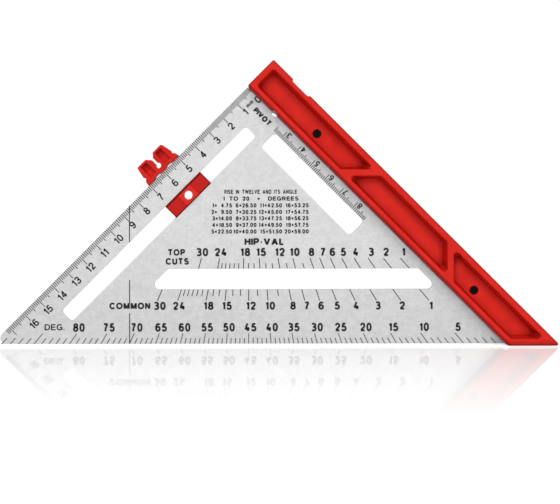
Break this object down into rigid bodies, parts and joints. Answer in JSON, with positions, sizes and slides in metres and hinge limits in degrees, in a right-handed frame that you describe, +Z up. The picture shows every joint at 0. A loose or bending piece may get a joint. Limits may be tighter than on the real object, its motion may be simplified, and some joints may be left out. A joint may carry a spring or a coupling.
{
  "type": "speed square",
  "caption": "Right-angled layout square with a steel blade, a clamped T-shaped plastic fence and a gauge that slides along the scale leg.",
  "frame": {"origin": "on the surface the square stands on, under the middle of its bounding box", "axes": "+X to the right along the long edge, +Y through the blade from the front to the back, +Z up to the fence's top end"},
  "size_m": [0.2774, 0.022, 0.141],
  "materials": {
    "blade_steel": "fine blasted satin steel with black marks",
    "fence_plastic": "red moulded plastic, satin",
    "gauge_plastic": "red moulded plastic, satin",
    "screw_steel": "black oxide"
  },
  "bodies": {
    "square": {"blade": "blade_steel", "fence_front": "fence_plastic", "fence_rear": "fence_plastic", "fence_screws": "screw_steel"},
    "gauge": {"slider": "gauge_plastic"}
  },
  "joints": [
    {"name": "gauge_slide", "type": "slide", "parent": "square", "child": "gauge", "axis": [0.7071, 0, 0.7071], "range_m": [-0.0725, 0.0309]}
  ]
}
